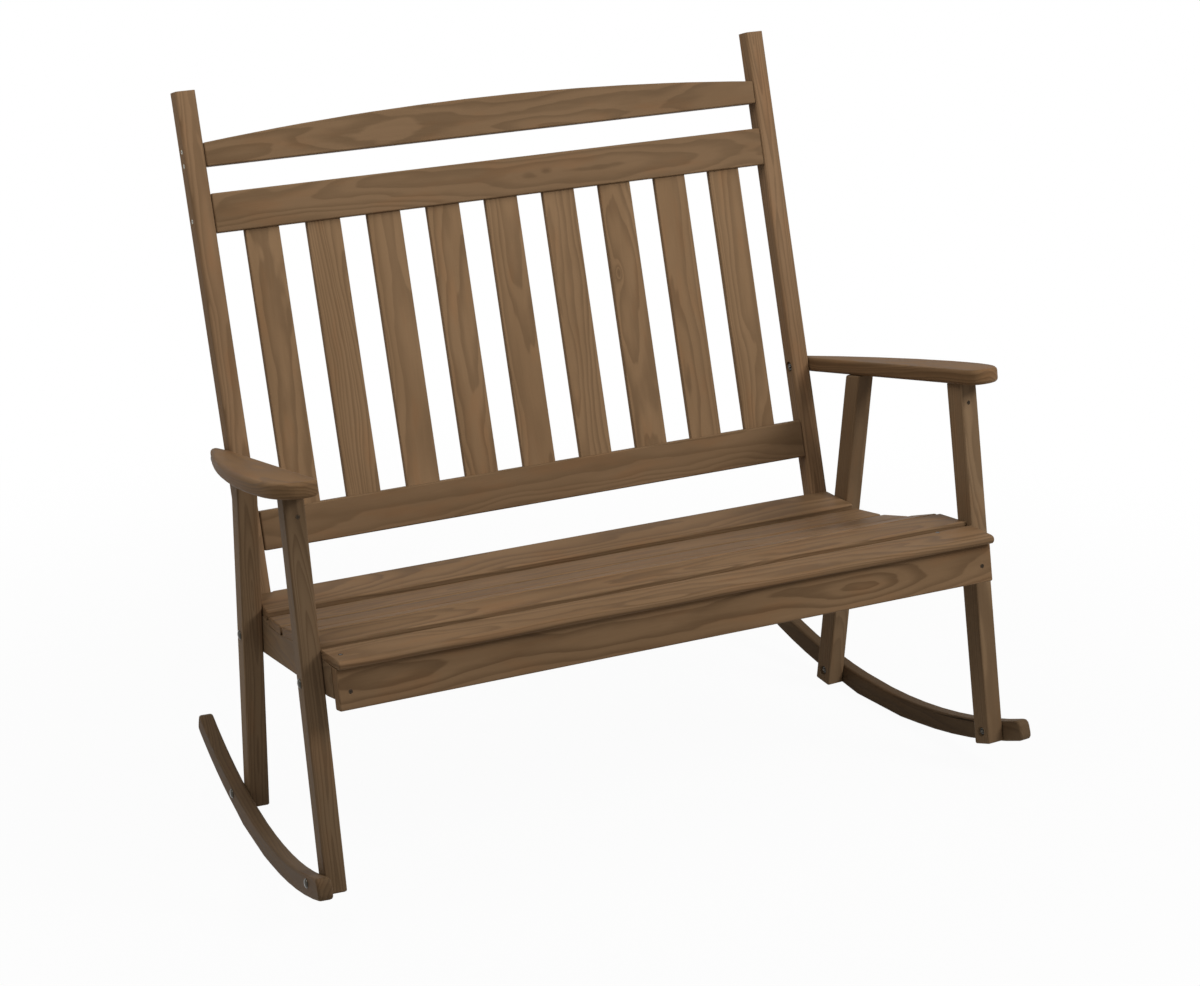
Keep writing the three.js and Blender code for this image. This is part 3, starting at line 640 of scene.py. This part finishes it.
def build_plating():
    """Zinc plate: fine turning marks, cloudy dulling and a few stained specks."""
    group, entry, leave = new_group(
        "zinc plating",
        [("Place", "NodeSocketVector", None), ("Colour", "NodeSocketColor", None)],
        [
            ("Colour", "NodeSocketColor"),
            ("Roughness", "NodeSocketFloat"),
            ("Height", "NodeSocketFloat"),
        ],
    )
    place = entry.outputs["Place"]
    marks = stretched_noise(group, place, TURNING_MARKS).outputs["Fac"]
    dull_values = {"Vector": place, "Scale": DULL_CLOUD_SCALE, "Detail": 3}
    dull = put(group, "ShaderNodeTexNoise", dull_values).outputs["Fac"]
    speck_values = {"Vector": place, "Scale": SPECK_SCALE, "Detail": 1}
    specks = put(group, "ShaderNodeTexNoise", speck_values).outputs["Fac"]
    cloud = smooth_step(group, dull, *DULL_CLOUD_BAND)
    speck = smooth_step(group, specks, *SPECK_BAND)
    share = calculate(group, "MULTIPLY", cloud, DULL_SHARE)
    dulled = blend_colours(group, share, entry.outputs["Colour"], DULL_TINT, "MULTIPLY")
    share = calculate(group, "MULTIPLY", speck, SPECK_SHARE)
    stained = blend_colours(group, share, dulled, SPECK_COLOUR)
    group.links.new(stained, leave.inputs["Colour"])
    group.links.new(between(group, cloud, *PLATE_ROUGHNESS), leave.inputs["Roughness"])
    pits = calculate(group, "MULTIPLY", dull, DULL_RELIEF)
    group.links.new(calculate(group, "ADD", marks, pits), leave.inputs["Height"])
    return group


zinc_plating = build_plating()


def plated_steel(name, colour):
    """Zinc-plated steel of a given colour."""
    material, tree, shader = new_material(name)
    place = put(tree, "ShaderNodeTexCoord").outputs["Object"]
    values = {"Place": place, "Colour": (*colour, 1)}
    plating = put(tree, "ShaderNodeGroup", values, node_tree=zinc_plating)
    tree.links.new(plating.outputs["Colour"], shader.inputs["Base Color"])
    tree.links.new(plating.outputs["Roughness"], shader.inputs["Roughness"])
    bump_values = {
        "Strength": PLATE_RELIEF_STRENGTH,
        "Distance": PLATE_RELIEF,
        "Height": plating.outputs["Height"],
    }
    bump = put(tree, "ShaderNodeBump", bump_values)
    tree.links.new(bump.outputs["Normal"], shader.inputs["Normal"])
    shader.inputs["Metallic"].default_value = PLATE_METALLIC
    return material


def add_hardware(name, mesh, place, material, crease=None):
    """A steel piece at its place. With a crease it is smooth, but for edges sharper than that."""
    for face in mesh.faces:
        face.smooth = crease is not None
    data = bpy.data.meshes.new(name)
    mesh.to_mesh(data)
    mesh.free()
    if crease is not None:
        data.set_sharp_from_angle(angle=crease)
    data.materials.append(material)
    piece = bpy.data.objects.new(name, data)
    piece.matrix_world = place
    bpy.context.scene.collection.objects.link(piece)
    bpy.context.view_layer.update()
    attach(piece, "root")
    return piece


def turned(name, profile, sides, place, material):
    """A piece turned round X from points (along, radius), set at its place."""
    mesh = bmesh.new()
    turns = [2 * pi * step / sides for step in range(sides)]
    rings = []
    for along, radius in profile:
        if radius == 0:
            around = [(along, 0, 0)]
        else:
            around = [(along, radius * cos(turn), radius * sin(turn)) for turn in turns]
        rings.append([mesh.verts.new(corner) for corner in around])
    for first, second in zip(rings, rings[1:]):
        for step in range(sides):
            after = (step + 1) % sides
            corners = [
                first[step % len(first)],
                first[after % len(first)],
                second[after % len(second)],
                second[step % len(second)],
            ]
            mesh.faces.new(list(dict.fromkeys(corners)))
    bmesh.ops.recalc_face_normals(mesh, faces=mesh.faces)
    return add_hardware(name, mesh, place, material, crease=TURNED_CREASE)


def frame_along(direction, origin, towards=Vector((0, 0, 1))):
    """A place whose X runs along a direction."""
    along = direction.normalized()
    side = towards.cross(along).normalized()
    axes = Matrix((along, side, along.cross(side))).transposed()
    return Matrix.Translation(origin) @ axes.to_4x4()


def bolt_place(node):
    """Where a CAD bolt's head bears, with X out through the head, and its shank's reach."""
    corners = corners_of(node)
    middle = sum(corners, Vector()) / len(corners)
    axis = principal(corner - middle for corner in corners)
    rim = []
    for corner in corners:
        away = (corner - middle) - axis * (corner - middle).dot(axis)
        if away.length > 2 * BOLT_RADIUS:
            rim.append(corner)
    centre = sum(rim, Vector()) / len(rim)
    reach = [(corner - centre).dot(axis) for corner in corners]
    if max(reach) > -min(reach):
        axis = -axis
        reach = [-value for value in reach]
    bearing = min((corner - centre).dot(axis) for corner in rim)
    return frame_along(axis, centre + axis * bearing), bearing - min(reach)


def bolt_profile(shank):
    """From the middle of the tail, up the thread and shank, round the rim and over the dome."""
    root = BOLT_RADIUS - THREAD_DEPTH
    profile = [(-shank, 0), (-shank, root * TAIL_SHARE), (-shank + TAIL_CHAMFER, root)]
    along = -shank + TAIL_CHAMFER + THREAD_PITCH / 2
    while along < -shank + THREAD_LENGTH:
        profile += [(along, BOLT_RADIUS), (along + THREAD_PITCH / 2, root)]
        along += THREAD_PITCH
    dome = HEAD_RADIUS - DOME_INSET
    profile += [
        (along, BOLT_RADIUS),
        (0, BOLT_RADIUS),
        (0, HEAD_RADIUS - RIM_EASING),
        (RIM_EASING, HEAD_RADIUS),
        (RIM_HEIGHT, HEAD_RADIUS - RIM_DRAFT),
        (RIM_HEIGHT + RIM_DRAFT, dome),
    ]
    rise = HEAD_HEIGHT - RIM_HEIGHT - RIM_DRAFT
    for step in range(1, DOME_STEPS + 1):
        turn = pi / 2 * step / DOME_STEPS
        radius = 0 if step == DOME_STEPS else dome * cos(turn)
        profile.append((HEAD_HEIGHT - rise * (1 - sin(turn)), radius))
    return profile


# Bolt steel whose near-black colour is a painted dark reflection.
plated = plated_steel("zinc plate with painted dark reflection", ZINC_WITH_DARK_REFLECTION)
BOLTED = ("front_rocker", "rear_rocker", "front_seat", "rear_seat", "back_seat", "arm")
for joint in BOLTED:
    for side in ("left", "right"):
        node = f"{joint}_bolt_{side}"
        place, shank = bolt_place(node)
        bolt = turned(f"{node}_turned", bolt_profile(shank), BOLT_SIDES, place, plated)
        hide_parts(node)


# The nuts: hexagon nuts of plated steel, chamfered on both faces, one on each bolt's
# tail and tightened against the wood. Their near-black colour, darker still than the bolts', is a
# painted dark reflection.
NUT_CHAMFER = radians(30)
NUT_FACE_SHARE = 0.97
NUT_BORE = 0.0033
NUT_STEPS = 48
# Near-black nut colour: a painted dark reflection, darker still than on the bolts.
NUT_ZINC_WITH_DARK_REFLECTION = (0.04, 0.038, 0.033)


def nut_place(node):
    """Where a CAD nut sits, with X along its bore, half its thickness and half its flats."""
    corners = corners_of(node)
    low = Vector(map(min, zip(*corners)))
    high = Vector(map(max, zip(*corners)))
    middle = (low + high) / 2
    rows = np.array([tuple(corner - middle) for corner in corners])
    axis = Vector(np.linalg.eigh(rows.T @ rows)[1][:, 0])
    half = max(abs((corner - middle).dot(axis)) for corner in corners)
    spokes = [corner - middle - axis * (corner - middle).dot(axis) for corner in corners]
    spoke = max(spokes, key=lambda spoke: spoke.length)
    return frame_along(axis, middle, towards=spoke), half, spoke.length * cos(pi / 6)


def make_nut(name, place, half, flats, material):
    """A hexagon nut, half as thick and as wide as given, with its corners chamfered."""
    mesh = bmesh.new()
    circle = flats * NUT_FACE_SHARE
    rings = []
    for level in (-1, 1):
        edge_ring, face_ring, bore_ring = [], [], []
        for step in range(NUT_STEPS):
            turn = 2 * pi * step / NUT_STEPS
            to_flat = (turn + pi / 6) % (pi / 3) - pi / 6
            spoke = flats / cos(abs(abs(to_flat) - pi / 6))
            drop = max(0, spoke - circle) * tan(NUT_CHAMFER)
            for ring, along, radius in (
                (edge_ring, half - drop, spoke),
                (face_ring, half, circle),
                (bore_ring, half, NUT_BORE),
            ):
                corner = (level * along, radius * sin(turn), radius * cos(turn))
                ring.append(mesh.verts.new(corner))
        rings.append((edge_ring, face_ring, bore_ring))
    loop = [*reversed(rings[0]), *rings[1]]
    for first, second in zip(loop, loop[1:] + loop[:1]):
        for step in range(NUT_STEPS):
            after = (step + 1) % NUT_STEPS
            mesh.faces.new((first[step], first[after], second[after], second[step]))
    bmesh.ops.remove_doubles(mesh, verts=mesh.verts, dist=WELD_REACH)
    bmesh.ops.recalc_face_normals(mesh, faces=mesh.faces)
    return add_hardware(name, mesh, place, material)


nut_steel_with_dark_reflection = plated_steel("nut plate with painted dark reflection", NUT_ZINC_WITH_DARK_REFLECTION)
for joint in BOLTED:
    for side in ("left", "right"):
        node = f"{joint}_nut_{side}"
        nut = make_nut(f"{node}_chamfered", *nut_place(node), nut_steel_with_dark_reflection)
        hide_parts(node)


# The wood screws: small countersunk heads, almost level with the wood, with a crossed slot that is
# only painted on, as dark shade. The heads on the legs, the apron and the front slat are
# near-black, painted shade of deep-set holes. They hold the rails between the posts, the apron and
# front slat to the side rails, and the arms.
SCREW_RADIUS = 0.0036
SCREW_STANDS = 0.00025
SCREW_DEPTH = 0.0014
SCREW_TAPER = 0.6
SCREW_RIM = 0.0001
SCREW_RIM_WIDTH = 0.0002
SCREW_DISH = 0.5
SCREW_SIDES = 24
SCREW_TURN = Vector((0.3, 0.2, 0.93))
SLOT_HALF_WIDTH = 0.00055
SLOT_REACH = 0.0022
# The slot's colour is painted shade: the shade inside a groove that the head does not have.
SLOT_SHADE = (0.02, 0.016, 0.012)
BARE_STEEL = (0.34, 0.32, 0.26)
# The heads on the legs, the apron and the front slat are near-black: painted shade of deep-set
# holes, though the heads stand level with the wood.
HOLE_SHADE_STEEL = (0.045, 0.03, 0.018)

# The places of the screws are held in the upright bench's own frame and in that of its back,
# and a line from each start meets the wood from beside, before or above it.
LEAN = radians(12.27)
BACK_RAKE = radians(6.18)
BENCH_SHIFT = Vector((0, -0.04437, 0))
POST_FOOT = Vector((0, 0.0591, 0.306))
FROM_BESIDE = 0.7
FROM_BEFORE = -0.6
FROM_ABOVE = 0.6
POST_SCREW_DEPTH = 0.0137
POST_SCREW_HEIGHTS = (0.172, 0.201, 0.695, 0.784, 0.807)
APRON_SCREW_OUT, APRON_SCREW_HEIGHT = 0.5673, 0.306
LEG_SCREW_OUT, LEG_SCREW_HEIGHT = 0.6, 0.5705
FRONT_SLAT_SCREWS = {"left": (-0.57, -0.350), "right": (0.5168, -0.3195)}

bench_place = Matrix.Translation(BENCH_SHIFT) @ Matrix.Rotation(-LEAN, 4, "X")
back_place = bench_place @ Matrix.Translation(POST_FOOT) @ Matrix.Rotation(-BACK_RAKE, 4, "X")


def screw_head(name, node, place, start, direction, steel):
    """A screw head on a piece, where a line from a point of its own frame meets the wood."""
    origin = place @ Vector(start)
    towards = (place.to_3x3() @ Vector(direction)).normalized()
    hit, normal, _, _ = wooden[node].ray_cast(origin, towards)
    below = SCREW_STANDS - SCREW_DEPTH
    rim = SCREW_STANDS - SCREW_RIM
    profile = [
        (below, 0),
        (below, SCREW_RADIUS * SCREW_TAPER),
        (rim, SCREW_RADIUS),
        (SCREW_STANDS, SCREW_RADIUS - SCREW_RIM_WIDTH),
        (rim, SCREW_RADIUS * SCREW_DISH),
        (rim, 0),
    ]
    turned(name, profile, SCREW_SIDES, frame_along(normal, hit, SCREW_TURN), steel)


def crossed_slot_steel(name, colour):
    """Plated steel with a crossed slot painted in the middle of the head as dark shade."""
    material = plated_steel(name, colour)
    tree = material.node_tree
    colour_input = tree.nodes["Principled BSDF"].inputs["Base Color"]
    place = put(tree, "ShaderNodeTexCoord").outputs["Object"]
    place = put(tree, "ShaderNodeSeparateXYZ", {0: place})
    one = calculate(tree, "ABSOLUTE", place.outputs["Y"])
    two = calculate(tree, "ABSOLUTE", place.outputs["Z"])
    nearer = calculate(tree, "MINIMUM", one, two)
    farther = calculate(tree, "MAXIMUM", one, two)
    # The slot is painted shade: a dark cross, with no groove cut in the head.
    narrow = calculate(tree, "LESS_THAN", nearer, SLOT_HALF_WIDTH)
    short = calculate(tree, "LESS_THAN", farther, SLOT_REACH)
    slot = calculate(tree, "MULTIPLY", narrow, short)
    before = colour_input.links[0].from_socket
    tree.links.new(blend_colours(tree, slot, before, SLOT_SHADE), colour_input)
    return material


bare_steel = crossed_slot_steel("bare screw steel", BARE_STEEL)
# Near-black screw heads: painted shade of deep-set holes.
hole_shade_steel = crossed_slot_steel("screw steel with painted hole shade", HOLE_SHADE_STEEL)
BACKWARDS = (0, 1, 0)
DOWNWARDS = (0, 0, -1)
for side, out in (("left", -1), ("right", 1)):
    for number, height in enumerate(POST_SCREW_HEIGHTS, start=1):
        start = (out * FROM_BESIDE, POST_SCREW_DEPTH, height)
        name, post = f"post_screw_{number}_{side}", f"back_post_{side}"
        screw_head(name, post, back_place, start, (-out, 0, 0), bare_steel)
    for name, node, outwards, height in (
        ("apron_screw", "seat_apron", APRON_SCREW_OUT, APRON_SCREW_HEIGHT),
        ("front_leg_screw", f"front_leg_{side}", LEG_SCREW_OUT, LEG_SCREW_HEIGHT),
    ):
        start = (out * outwards, FROM_BEFORE, height)
        screw_head(f"{name}_{side}", node, bench_place, start, BACKWARDS, hole_shade_steel)
for side, place in FRONT_SLAT_SCREWS.items():
    name, start = f"front_slat_screw_{side}", (*place, FROM_ABOVE)
    screw_head(name, "seat_slat_6", bench_place, start, DOWNWARDS, hole_shade_steel)


# The floor: a plain pale sheet just under the rockers. It carries the bench's soft shadow, and
# fades to white further out, so that it has no edge against the room.
FLOOR_REACH = 14
FLOOR_CELLS = 8
FLOOR_BELOW = 0.0002
FLOOR_COLOUR = (0.5, 0.5, 0.49)
FLOOR_ROUGHNESS = 0.9
FLOOR_SPECULAR = 0.1
FLOOR_FADE = (0.75, 2.0)
FLOOR_WHITE_NEAR = 0.96
WHITE = (1, 1, 1, 1)


def seen_rays(tree):
    """1 for rays from the camera and for what gloss or glass shows, and 0 for light."""
    rays = put(tree, "ShaderNodeLightPath").outputs
    seen = calculate(tree, "MAXIMUM", rays["Is Camera Ray"], rays["Is Glossy Ray"])
    return calculate(tree, "MAXIMUM", seen, rays["Is Transmission Ray"])


def pale_floor():
    """A pale matt floor that looks almost white to the camera."""
    material, tree, shader = new_material("pale floor")
    shader.inputs["Base Color"].default_value = (*FLOOR_COLOUR, 1)
    shader.inputs["Roughness"].default_value = FLOOR_ROUGHNESS
    shader.inputs["Specular IOR Level"].default_value = FLOOR_SPECULAR
    white = put(tree, "ShaderNodeEmission", {"Color": WHITE, "Strength": 1.0})
    away = reckon(tree, "LENGTH", put(tree, "ShaderNodeTexCoord").outputs["Object"])
    fade = between(tree, smooth_step(tree, away, *FLOOR_FADE), FLOOR_WHITE_NEAR, 1.0)
    share = calculate(tree, "MULTIPLY", seen_rays(tree), fade)
    values = {0: share, 1: shader.outputs[0], 2: white.outputs[0]}
    mixed = put(tree, "ShaderNodeMixShader", values)
    tree.links.new(mixed.outputs[0], tree.nodes["Material Output"].inputs["Surface"])
    return material


floor_mesh = bmesh.new()
bmesh.ops.create_grid(
    floor_mesh, x_segments=FLOOR_CELLS, y_segments=FLOOR_CELLS, size=FLOOR_REACH
)
floor_data = bpy.data.meshes.new("floor")
floor_mesh.to_mesh(floor_data)
floor_mesh.free()
floor_data.materials.append(pale_floor())
floor = bpy.data.objects.new("floor", floor_data)
floor.location.z = -FLOOR_BELOW
bpy.context.scene.collection.objects.link(floor)


# The light: a soft lamp above and in front, a little to the right, a wider one overhead, and a
# room that lights the bench evenly and looks white behind it.
FRONT_LAMP = {"place": (2.2, -2.3, 2.9), "aim": (0, 0.1, 0.7), "size": 1.4, "power": 90}
OVERHEAD_LAMP = {"place": (-1.1, -0.2, 2.8), "aim": (0, 0, 0.4), "size": 1.8, "power": 31}
ROOM_LIGHT = 0.3


def soft_lamp(name, place, aim, size, power):
    """A round lamp at a place, turned to what it lights. Its power is in watts."""
    data = bpy.data.lights.new(name, "AREA")
    data.shape = "DISK"
    data.size = size
    data.energy = power
    lamp = bpy.data.objects.new(name, data)
    lamp.location = place
    lamp.rotation_euler = (Vector(aim) - Vector(place)).to_track_quat("-Z", "Y").to_euler()
    bpy.context.scene.collection.objects.link(lamp)


def even_room(brightness):
    """A room of even light, white where it is seen."""
    world = bpy.data.worlds.new("even room")
    world.use_nodes = True
    tree = world.node_tree
    background = tree.nodes["Background"]
    background.inputs["Color"].default_value = WHITE
    strength = between(tree, seen_rays(tree), brightness, 1.0)
    tree.links.new(strength, background.inputs["Strength"])
    bpy.context.scene.world = world


soft_lamp("front lamp", **FRONT_LAMP)
soft_lamp("overhead lamp", **OVERHEAD_LAMP)
even_room(ROOM_LIGHT)
bpy.context.scene.view_settings.view_transform = "Standard"


# The camera: a long lens from the front left and a little above, as in the photograph. It
# looks along its yaw and pitch, turned a little by its roll.
CAMERA_PLACE = (-2.2700, -4.30847, 2.24575)
CAMERA_YAW = radians(-28.12196)
CAMERA_PITCH = radians(19.82810)
CAMERA_ROLL = radians(-0.34810)
CAMERA_LENS = 94.3147
CAMERA_SENSOR = 36
CAMERA_FARTHEST = 100

ahead = Vector((
    -sin(CAMERA_YAW) * cos(CAMERA_PITCH),
    cos(CAMERA_YAW) * cos(CAMERA_PITCH),
    -sin(CAMERA_PITCH),
))
level = ahead.cross(Vector((0, 0, 1))).normalized()
plumb = ahead.cross(level)
right = level * cos(CAMERA_ROLL) + plumb * sin(CAMERA_ROLL)
below = plumb * cos(CAMERA_ROLL) - level * sin(CAMERA_ROLL)
camera_axes = Matrix((right, -below, -ahead)).transposed()
camera_data = bpy.data.cameras.new("camera")
camera_data.lens = CAMERA_LENS
camera_data.sensor_width = CAMERA_SENSOR
camera_data.sensor_fit = "HORIZONTAL"
camera_data.clip_end = CAMERA_FARTHEST
camera = bpy.data.objects.new("camera", camera_data)
camera.matrix_world = Matrix.Translation(CAMERA_PLACE) @ camera_axes.to_4x4()
bpy.context.scene.collection.objects.link(camera)
bpy.context.scene.camera = camera

bpy.context.view_layer.update()
